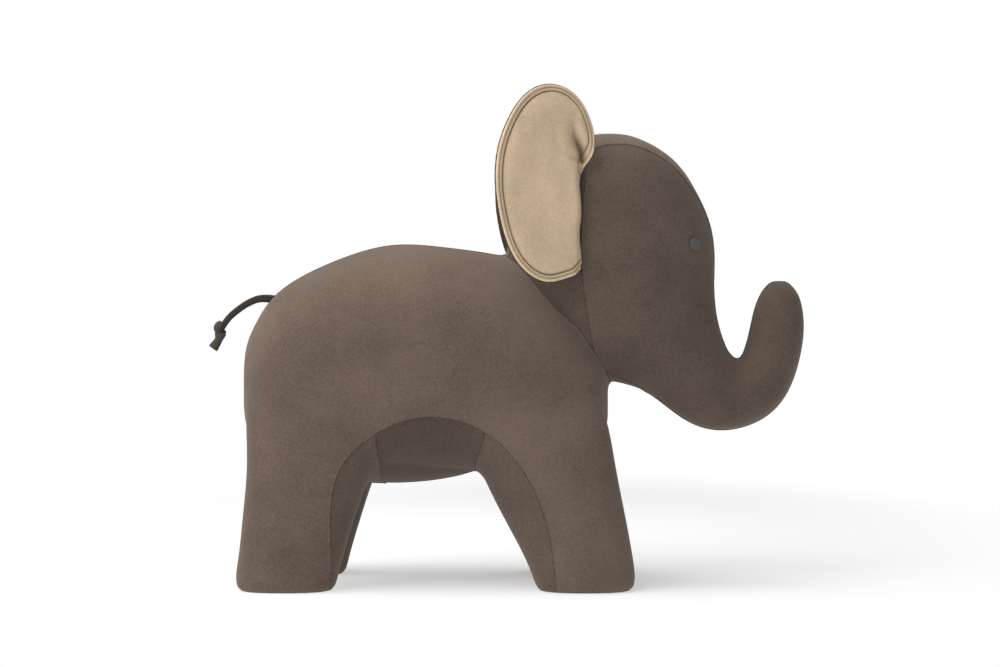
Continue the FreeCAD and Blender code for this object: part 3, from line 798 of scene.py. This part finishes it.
def ear_wadding(ear, values, tris, material):
    """The ear's padding, a little inside its front and back."""
    values, tris = split_at(values, tris, 2, WADDING_IN)
    tris = tris[(values[tris, 2] >= WADDING_IN - 1e-9).all(1)]
    values, tris = compact(values, tris)
    flat = values[:, :2]
    middle = ear.bend(flat)
    low = -ear.rear(values) + WADDING_UNDER
    high = ear.front(values) - WADDING_UNDER
    high = np.where(values[:, 3] < EAR_BAND + 0.006, np.minimum(high, 0.0), high)
    top = ear.sewn(ear.place(flat, middle + np.maximum(high, low + 0.0002)), flat, lift=-0.0004)
    bottom = ear.sewn(ear.place(flat, middle + low), flat, lift=-0.0008)
    both = np.concatenate([top, bottom])
    faces = closed_faces(tris, len(flat))
    return mesh_piece(f"ear_wadding_{ear.word}", both, faces, material, None)


def ring_points(middle, side, up, size, sides):
    angles = [2 * math.pi * j / sides for j in range(sides)]
    return [middle + size * (math.cos(angle) * side + math.sin(angle) * up) for angle in angles]


def tube_faces(base, rings, sides):
    """The skin and the two ends of a tube whose points are numbered from `base`."""
    faces = []
    for k in range(rings - 1):
        for j in range(sides):
            a, b = base + k * sides + j, base + k * sides + (j + 1) % sides
            faces.append((a, b, b + sides, a + sides))
    faces.append(tuple(base + j for j in reversed(range(sides))))
    faces.append(tuple(base + (rings - 1) * sides + j for j in range(sides)))
    return faces


def thread_row(name, path, ups, pitch, length, radius, material):
    """A row of stitches: a short rounded thread at each step along the path."""
    runs = np.linalg.norm(np.diff(path, axis=0), axis=1)
    total = np.concatenate([[0], np.cumsum(runs)])
    points, faces = [], []
    rings, sides = 5, 6
    for start in np.arange(pitch, total[-1] - pitch, pitch):
        ends = [start + length * share for share in np.linspace(0, 1, rings)]
        spine = np.stack([np.interp(ends, total, path[:, i]) for i in range(3)], 1)
        lift = np.stack([np.interp(ends, total, ups[:, i]) for i in range(3)], 1)
        run = spine[-1] - spine[0]
        run /= np.linalg.norm(run)
        base = len(points)
        for k in range(rings):
            share = k / (rings - 1)
            size = radius * (0.35 + 0.65 * math.sin(math.pi * share))
            up = lift[k] - run * (lift[k] @ run)
            up /= np.linalg.norm(up)
            side = np.cross(run, up)
            middle = spine[k] + up * radius * (1.1 * math.sin(math.pi * share) - 0.4)
            points += ring_points(middle, side, up, size, sides)
        faces += tube_faces(base, rings, sides)
    return mesh_piece(name, points, faces, material, None)


def row_on_ear(ear, name, inset, material):
    """Stitches along the ear's free edge, this far inside it."""
    edge = ear.free
    run = np.gradient(edge, axis=0)
    run /= np.linalg.norm(run, axis=1, keepdims=True)
    side = np.stack([-run[:, 1], run[:, 0]], 1)
    if not inside_loop((edge + side * 0.004)[len(edge) // 2 :][:1], ear.outline)[0]:
        side = -side
    inset = inset + BACK_SHOWS
    flat = edge + side * inset
    keep = path_distance(flat, ear.free)[0] > inset * 0.97
    flat = flat[keep]
    values = ear.with_distances(flat, np.full(len(flat), inset))
    points = ear.sewn(ear.place(flat, ear.bend(flat) + ear.front(values)), flat)
    ups = np.repeat(ear.out[None], len(points), axis=0)
    return thread_row(
        name, points, ups, STITCH_PITCH, STITCH_LENGTH, STITCH_RADIUS, material
    )


def root_welt(ear, material):
    """The dark rolled seam that the ear hangs on, lying on the head."""
    root = ear.root_edge()
    flat = root[np.argsort(root[:, 1])]
    spine = ear.sewn(ear.place(flat, np.zeros(len(flat))), flat)
    for _ in range(6):
        spine[1:-1] = (spine[:-2] + 2 * spine[1:-1] + spine[2:]) / 4
    spine = spine + np.array((0.0008, HANDS[ear.word] * 0.0004, 0))
    count, sides = len(spine), 10
    points = []
    runs = np.gradient(spine, axis=0)
    for k in range(count):
        run = runs[k] / np.linalg.norm(runs[k])
        up = np.array((0, HANDS[ear.word], 0)) - run * run[1] * HANDS[ear.word]
        up /= np.linalg.norm(up)
        side = np.cross(run, up)
        size = WELT_RADIUS * min(1, 0.4 + 0.3 * min(k, count - 1 - k))
        points += ring_points(spine[k], side, up, size, sides)
    faces = tube_faces(0, count, sides)
    return mesh_piece(
        f"ear_root_welt_{ear.word}", points, faces, material, "elephant"
    )


def add_ear(word, form_tree, materials):
    ear = Ear(word, form_tree)
    values, tris = ear.grid()
    lining, back, wadding, thread = materials
    field = ear_layer(
        ear, values, tris, f"ear_lining_{word}", lining, low=EAR_BAND
    )
    border = ear_layer(
        ear, values, tris, f"ear_border_band_{word}", lining, low=0.0, high=EAR_BAND
    )
    rear = ear_layer(
        ear, values, tris, f"ear_back_cloth_{word}", back, face="rear"
    )
    filling = ear_wadding(ear, values, tris, wadding)
    row = row_on_ear(ear, f"ear_stitching_{word}", BAND_STITCH, thread)
    for piece, node in (
        (field, "front"), (border, "border"), (rear, "back"), (filling, "padding"),
    ):
        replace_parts(piece, f"ear_{node}_{word}")
    for piece in (field, border, rear, filling, row):
        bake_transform(piece)
    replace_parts(root_welt(ear, back), f"ear_root_seam_{word}")


# -------------------------------------------------------------------------------------- materials
TAUPE = (0.150, 0.111, 0.086)
LINING = (0.66, 0.50, 0.338)
STITCH_NOISE = 260.0  # how finely a seam's dark line is broken up
# tones of the cover by distance from a seam: painted shade in the seam's groove, broken into
# stitch-like dashes
SEAM_PAINTED_SHADE = ((0.0, 0.42), (0.0004, 0.55), (0.0009, 0.90), (0.0016, 1.0))
# tones of the ear's lining by distance from its edge: lighter on the rolled rim, painted shade
# along the stitch row's dip and deepest in the groove, plain on the field
EAR_BAND_PAINTED_SHADE = (
    (0.0, 1.0), (0.0006, 1.16), (0.0022, 1.12), (0.0034, 0.90), (BAND_STITCH, 0.80),
    (0.0060, 0.93), (0.0084, 0.90), (0.0091, 0.55), (EAR_BAND, 0.40), (0.0102, 0.60),
    (0.0112, 0.92), (0.0140, 1.0),
)
# painted shade of the ear's lining, darker with depth in the long crease
CREASE_PAINTED_SHADE = ((0.0, 1.0), (0.002, 0.92), (0.005, 0.68), (0.0095, 0.30))


def add_node(tree, kind, **settings):
    node = tree.nodes.new(kind)
    for key, value in settings.items():
        if key in node.inputs:
            node.inputs[key].default_value = value
        else:
            setattr(node, key, value)
    return node


def plain_material(name, color, roughness=0.8):
    material = bpy.data.materials.new(name)
    material.use_nodes = True
    shader = material.node_tree.nodes["Principled BSDF"]
    shader.inputs["Base Color"].default_value = (*color, 1)
    shader.inputs["Roughness"].default_value = roughness
    return material


def ramp(tree, source, stops):
    node = tree.nodes.new("ShaderNodeValToRGB")
    elements = node.color_ramp.elements
    while len(elements) < len(stops):
        elements.new(0.5)
    for element, (place, color) in zip(elements, stops):
        element.position = place
        element.color = (*color, 1)
    tree.links.new(source, node.inputs["Fac"])
    return node.outputs["Color"]


def textured(name, roughness, color, spread, broad, fine, nap, bump=0.35, bump_scale=1500.0):
    """A material whose colour varies in broad patches and in a fine grain, with a slight relief."""
    material = plain_material(name, color, roughness)
    tree = material.node_tree
    shader = tree.nodes["Principled BSDF"]
    place = tree.nodes.new("ShaderNodeTexCoord").outputs["Object"]
    patches = add_node(tree, "ShaderNodeTexNoise", Scale=broad, Detail=4.0, Roughness=0.6)
    grain = add_node(tree, "ShaderNodeTexNoise", Scale=fine, Detail=3.0, Roughness=0.75)
    relief = add_node(tree, "ShaderNodeTexNoise", Scale=bump_scale, Detail=3.0, Roughness=0.6)
    for noise in (patches, grain, relief):
        tree.links.new(place, noise.inputs["Vector"])
    mixed = add_node(tree, "ShaderNodeMix", data_type="FLOAT")
    mixed.inputs[0].default_value = nap
    tree.links.new(patches.outputs["Fac"], mixed.inputs[2])
    tree.links.new(grain.outputs["Fac"], mixed.inputs[3])
    dark = tuple(c * (1 - spread) for c in color)
    light = tuple(c * (1 + spread) for c in color)
    tone = ramp(tree, mixed.outputs[0], ((0.34, dark), (0.5, color), (0.66, light)))
    tree.links.new(tone, shader.inputs["Base Color"])
    shader.inputs["Specular IOR Level"].default_value = 0.2
    height = add_node(tree, "ShaderNodeBump", Strength=bump, Distance=0.0005)
    tree.links.new(relief.outputs["Fac"], height.inputs["Height"])
    tree.links.new(height.outputs["Normal"], shader.inputs["Normal"])
    return material


def suede(name, color, spread, sheen, broad=9.0, fine=330.0, nap=0.55):
    """Brushed microfibre: soft patches, a fine nap and a sheen at grazing angles."""
    material = textured(name, 0.93, color, spread, broad, fine, nap)
    shader = material.node_tree.nodes["Principled BSDF"]
    shader.inputs["Sheen Weight"].default_value = sheen
    shader.inputs["Sheen Roughness"].default_value = 0.5
    shader.inputs["Sheen Tint"].default_value = (1.0, 0.86, 0.74, 1)
    return material


def toned(material, attribute, stops, reach, broken=0.0):
    """Scales the colour by a tone that depends on an attribute in metres, up to `reach`."""
    tree = material.node_tree
    shader = tree.nodes["Principled BSDF"]
    source = shader.inputs["Base Color"].links[0].from_socket
    value = add_node(tree, "ShaderNodeAttribute", attribute_name=attribute)
    share = add_node(tree, "ShaderNodeMapRange")
    share.inputs["From Max"].default_value = reach
    tree.links.new(value.outputs["Fac"], share.inputs["Value"])
    greys = [(place / reach, (tone, tone, tone)) for place, tone in stops]
    tone = ramp(tree, share.outputs["Result"], greys)
    if broken:
        place = tree.nodes.new("ShaderNodeTexCoord").outputs["Object"]
        dashes = add_node(tree, "ShaderNodeTexNoise", Scale=STITCH_NOISE, Detail=1.0)
        tree.links.new(place, dashes.inputs["Vector"])
        steps = ramp(tree, dashes.outputs["Fac"], ((0.42, (0, 0, 0)), (0.56, (broken,) * 3)))
        opened = add_node(tree, "ShaderNodeMix", data_type="RGBA", blend_type="ADD")
        opened.inputs[0].default_value = 1.0
        opened.clamp_result = True
        tree.links.new(tone, opened.inputs[6])
        tree.links.new(steps, opened.inputs[7])
        tone = opened.outputs[2]
    scaled = add_node(tree, "ShaderNodeMix", data_type="RGBA", blend_type="MULTIPLY")
    scaled.inputs[0].default_value = 1.0
    tree.links.new(source, scaled.inputs[6])
    tree.links.new(tone, scaled.inputs[7])
    tree.links.new(scaled.outputs[2], shader.inputs["Base Color"])
    return material


# Painted light and shade by panel: the belly, neck, chin, inner legs and soles, which face down,
# and the head's sides, away from the light, are darkened, and the crown is a touch lighter on top.
PANEL_PAINTED_LIGHT_AND_SHADE = {
    "body_side": 0.97,
    "crown": 1.02,
    "head_side": 0.78,
    "neck": 0.68,
    "chin": 0.70,
    "belly": 0.60,
    "inner_leg": 0.78,
    "sole": 0.80,
}


def cover_suede(kind):
    # painted light and shade: each kind of panel's colour scaled by its tone
    color = tuple(c * PANEL_PAINTED_LIGHT_AND_SHADE[kind] for c in TAUPE)
    material = suede(f"taupe_suede_{kind}", color, 0.30, 0.14)
    # the cover darkens towards each seam as painted shade in its groove
    return toned(material, "seam", SEAM_PAINTED_SHADE, 0.002, broken=0.35)


def lining_suede():
    material = suede("ear_lining_suede", LINING, 0.18, 0.12, broad=13.0)
    # painted shade in the border band's stitch row and groove, lighter on the rolled rim
    toned(material, "edge", EAR_BAND_PAINTED_SHADE, 0.015)
    # painted shade that deepens into the long crease
    return toned(material, "fold", CREASE_PAINTED_SHADE, 0.012)


def eye_plastic():
    material = textured("eye_grey", 0.45, (0.115, 0.108, 0.105), 0.10, 60.0, 500.0, 0.5, bump=0.05)
    shader = material.node_tree.nodes["Principled BSDF"]
    shader.inputs["Specular IOR Level"].default_value = 0.45
    shader.inputs["Coat Weight"].default_value = 0.08
    return material


def dress_nodes():
    """Materials for the carried-over parts."""
    finishes = {
        "eye_button": eye_plastic(),
        "eye_washer": textured(
            "washer_nylon", 0.5, (0.7, 0.69, 0.66), 0.05, 40.0, 300.0, 0.4, bump=0.05
        ),
        "foot_board": textured(
            "grey_board", 0.85, (0.30, 0.27, 0.23), 0.15, 25.0, 400.0, 0.6, bump=0.4
        ),
    }
    for name, node in frame["nodes"].items():
        for part, material in finishes.items():
            if part in name:
                node.data.materials.clear()
                node.data.materials.append(material)


# ------------------------------------------------------------------------------- light and floor
FLOOR_GLOW = 0.36
SKY_LIGHT = 0.22
STAGE_MIDDLE = (0.08, 0.75, 0)
STAGE_REACH = (0.95, 1.60, 1.0)  # beyond this the floor is plain white, like the wall behind
LIT_SHARE = 0.35  # the share of that reach where the floor is only lit, before it fades
LIGHT_TARGET = (-0.15, 0, 0.3)
# each light's place, size and watts
LIGHTS = {
    "key": ((-1.5, -0.95, 2.2), (2.4, 2.4), 54),
    "top": ((-0.3, 0.35, 2.6), (1.6, 1.6), 26),
    "fill": ((-0.5, -3.0, 1.0), (2.0, 1.6), 9),
}


def add_floor():
    bpy.ops.mesh.primitive_plane_add(size=14, location=(0, 0, -0.0005))
    floor = bpy.context.object
    floor.name = "floor"
    material = plain_material("floor_white", (0.78, 0.78, 0.78), 0.9)
    tree = material.node_tree
    shader = tree.nodes["Principled BSDF"]
    shader.inputs["Specular IOR Level"].default_value = 0.1
    shader.inputs["Emission Color"].default_value = (1, 1, 1, 1)
    shader.inputs["Emission Strength"].default_value = FLOOR_GLOW
    place = tree.nodes.new("ShaderNodeTexCoord").outputs["Object"]
    spot = add_node(tree, "ShaderNodeMapping", vector_type="TEXTURE")
    spot.inputs["Location"].default_value = STAGE_MIDDLE
    spot.inputs["Scale"].default_value = STAGE_REACH
    tree.links.new(place, spot.inputs["Vector"])
    away = add_node(tree, "ShaderNodeVectorMath", operation="LENGTH")
    tree.links.new(spot.outputs["Vector"], away.inputs[0])
    fade = add_node(tree, "ShaderNodeMapRange", interpolation_type="SMOOTHSTEP")
    fade.inputs["From Min"].default_value = LIT_SHARE
    fade.inputs["From Max"].default_value = 1.0
    tree.links.new(away.outputs["Value"], fade.inputs["Value"])
    white = add_node(tree, "ShaderNodeEmission")
    both = tree.nodes.new("ShaderNodeMixShader")
    tree.links.new(fade.outputs["Result"], both.inputs["Fac"])
    tree.links.new(shader.outputs["BSDF"], both.inputs[1])
    tree.links.new(white.outputs["Emission"], both.inputs[2])
    tree.links.new(both.outputs["Shader"], tree.nodes["Material Output"].inputs["Surface"])
    floor.data.materials.append(material)


def add_area_light(name, place, size, power):
    data = bpy.data.lights.new(name, "AREA")
    data.shape = "RECTANGLE"
    data.size, data.size_y = size
    data.energy = power
    lamp = bpy.data.objects.new(name, data)
    lamp.location = place
    aim = Vector(LIGHT_TARGET) - Vector(place)
    lamp.rotation_euler = aim.to_track_quat("-Z", "Y").to_euler()
    bpy.context.scene.collection.objects.link(lamp)


def add_world():
    """A white room that lights the object less than it shows behind it."""
    world = bpy.data.worlds.new("studio")
    world.use_nodes = True
    tree = world.node_tree
    back = tree.nodes["Background"]
    back.inputs["Color"].default_value = (1, 1, 1, 1)
    seen = tree.nodes.new("ShaderNodeLightPath").outputs["Is Camera Ray"]
    strength = tree.nodes.new("ShaderNodeMapRange")
    strength.inputs["To Min"].default_value = SKY_LIGHT
    strength.inputs["To Max"].default_value = 1.0
    tree.links.new(seen, strength.inputs["Value"])
    tree.links.new(strength.outputs["Result"], back.inputs["Strength"])
    bpy.context.scene.world = world


def add_lights():
    """A large soft key above and behind the rump, a top light, and a weak fill from the front."""
    for name, (place, size, power) in LIGHTS.items():
        add_area_light(name, place, size, power)
    add_world()
    bpy.context.scene.view_settings.view_transform = "Standard"


# ------------------------------------------------------------------------------------------- make
add_camera()
TAIL_SUEDE = suede("tail_suede", (0.055, 0.043, 0.034), 0.15, 0.12)
KNOT_SUEDE = suede("tail_knot_suede", (0.085, 0.068, 0.055), 0.15, 0.15)
add_tail(TAIL_SUEDE, KNOT_SUEDE)

form_points, form_tris = body_form()
cover_pieces(form_points, form_tris, {kind: cover_suede(kind) for kind in PANEL_PAINTED_LIGHT_AND_SHADE})
form_tree = BVHTree.FromPolygons(form_points.tolist(), form_tris.tolist())

EAR_BACK = suede("ear_back_suede", (0.060, 0.046, 0.037), 0.18, 0.2)
WADDING = textured("white_wadding", 0.95, (0.82, 0.81, 0.77), 0.06, 60.0, 400.0, 0.5, bump=0.6)
EAR_THREAD = textured("ear_thread", 0.7, (0.22, 0.14, 0.08), 0.15, 200.0, 1500.0, 0.5)
for word in HANDS:
    add_ear(word, form_tree, (lining_suede(), EAR_BACK, WADDING, EAR_THREAD))
add_stuffing(WADDING)
dress_nodes()

add_floor()
add_lights()
